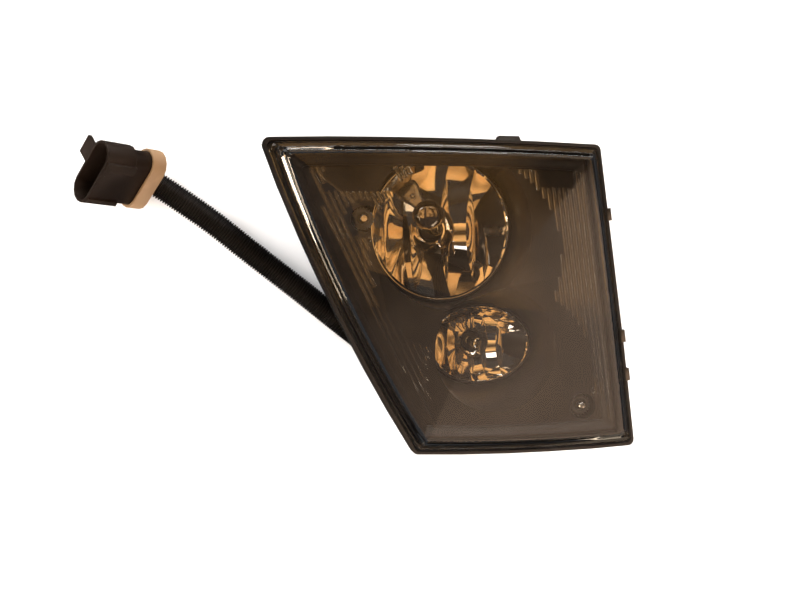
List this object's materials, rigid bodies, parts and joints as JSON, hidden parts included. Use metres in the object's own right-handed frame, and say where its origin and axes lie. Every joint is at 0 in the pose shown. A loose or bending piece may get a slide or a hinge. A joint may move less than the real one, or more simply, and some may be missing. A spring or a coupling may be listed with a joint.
{
  "type": "auxiliary headlamp",
  "caption": "Truck front headlamp: trapezoid case with a clear fluted lens, a driving and a fog reflector on an aiming carrier, and a conduit to a plug.",
  "frame": {"origin": "middle of the lamp's footprint, at the flat ends of the mounting bosses, with the lamp lying on its back", "axes": "+Z forward out of the lens, +Y towards the top edge as fitted, +X from the slanted side to the straight side"},
  "size_m": [0.4419, 0.2515, 0.15],
  "materials": {
    "black_plastic": "satin moulded black polypropylene",
    "bezel_plastic": "semi-gloss warm charcoal",
    "grey_plastic": "moulded, satin",
    "clear_plastic": "clear hard-coated polycarbonate",
    "sealant": "dull sealing compound",
    "chrome": "vacuum metallised, mirror bright",
    "dark_mirror": "bright, darkened",
    "spring_steel": "bright",
    "zinc": "zinc plated",
    "tin": "tin plated",
    "brass": "machined",
    "nylon": "natural, slightly translucent",
    "bulb_glass": "clear quartz",
    "rubber": "dull black",
    "conduit_plastic": "convoluted black nylon",
    "connector_plastic": "satin dark brown-black",
    "tan_plastic": "satin tan"
  },
  "bodies": {
    "case": {"housing": "black_plastic", "housing_back": "black_plastic", "mount_boss_1": "black_plastic", "mount_boss_2": "black_plastic", "mount_boss_3": "black_plastic", "mount_boss_4": "black_plastic", "outer_lens": "clear_plastic", "lens_seal": "sealant", "bezel": "bezel_plastic", "lens_clip_1": "spring_steel", "lens_clip_2": "spring_steel", "lens_clip_3": "spring_steel", "vent_cap": "rubber", "cable_gland": "rubber", "conduit": "conduit_plastic", "wire_bundle": "conduit_plastic", "connector_shell": "connector_plastic", "connector_lock": "tan_plastic", "connector_pin_1": "tin", "connector_pin_2": "tin", "connector_pin_3": "tin", "connector_pin_4": "tin", "mount_insert_1": "brass", "mount_insert_2": "brass", "mount_insert_3": "brass", "mount_insert_4": "brass", "side_adjuster_bushing": "nylon", "low_adjuster_bushing": "nylon", "pivot_stud": "zinc", "main_lead": "conduit_plastic", "fog_lead": "conduit_plastic", "main_cap_seal": "rubber", "fog_cap_seal": "rubber"},
    "pivot_link": {"pivot_socket": "nylon"},
    "reflectors": {"reflector_carrier": "grey_plastic", "main_reflector": "chrome", "fog_reflector": "chrome", "glare_shield": "dark_mirror", "shield_rivet": "zinc", "side_ball_nut": "nylon", "low_ball_nut": "nylon", "main_reflector_screw_1": "zinc", "main_reflector_screw_2": "zinc", "main_reflector_screw_3": "zinc", "fog_reflector_screw_1": "zinc", "fog_reflector_screw_2": "zinc", "fog_reflector_screw_3": "zinc"},
    "driving_bulb": {"main_bulb_base": "black_plastic", "main_bulb_glass": "bulb_glass", "main_bulb_ring": "rubber"},
    "fog_bulb": {"fog_bulb_base": "black_plastic", "fog_bulb_glass": "bulb_glass", "fog_bulb_ring": "rubber"},
    "side_screw": {"side_adjuster_screw": "zinc"},
    "low_screw": {"low_adjuster_screw": "zinc"},
    "driving_cover": {"main_cap": "black_plastic"},
    "fog_cover": {"fog_cap": "black_plastic"}
  },
  "joints": [
    {"name": "low_screw_turn", "type": "hinge", "parent": "case", "child": "low_screw", "pos_m": [0.11, -0.091, 0.106], "axis": [0, 0, 1], "range_deg": [-1897, 1897]},
    {"name": "side_screw_turn", "type": "hinge", "parent": "case", "child": "side_screw", "pos_m": [-0.07, 0.06, 0.106], "axis": [0, 0, 1], "range_deg": [-2111, 2111]},
    {"name": "vertical_aim", "type": "hinge", "parent": "case", "child": "pivot_link", "pos_m": [0.0985, 0.06, 0.106], "axis": [1, 0, 0], "range_deg": [-2, 2]},
    {"name": "horizontal_aim", "type": "hinge", "parent": "pivot_link", "child": "reflectors", "pos_m": [0.0985, 0.06, 0.106], "axis": [-0.0759, 0.9971, 0], "range_deg": [-2, 2]},
    {"name": "driving_bulb_twist", "type": "hinge", "parent": "reflectors", "child": "driving_bulb", "pos_m": [0, 0.0532, 0.03], "axis": [0, 0, 1], "range_deg": [-30, 0]},
    {"name": "fog_bulb_twist", "type": "hinge", "parent": "reflectors", "child": "fog_bulb", "pos_m": [0.036, -0.0433, 0.03], "axis": [0, 0, 1], "range_deg": [-30, 0]},
    {"name": "driving_cover_twist", "type": "hinge", "parent": "case", "child": "driving_cover", "pos_m": [0, 0.0532, 0.03], "axis": [0, 0, 1], "range_deg": [-40, 0]},
    {"name": "fog_cover_twist", "type": "hinge", "parent": "case", "child": "fog_cover", "pos_m": [0.036, -0.0433, 0.03], "axis": [0, 0, 1], "range_deg": [-40, 0]}
  ],
  "couplings": [
    {"joint": "vertical_aim", "follows": "low_screw_turn", "ratio": 0.001054},
    {"joint": "horizontal_aim", "follows": "side_screw_turn", "ratio": -0.00094728}
  ]
}
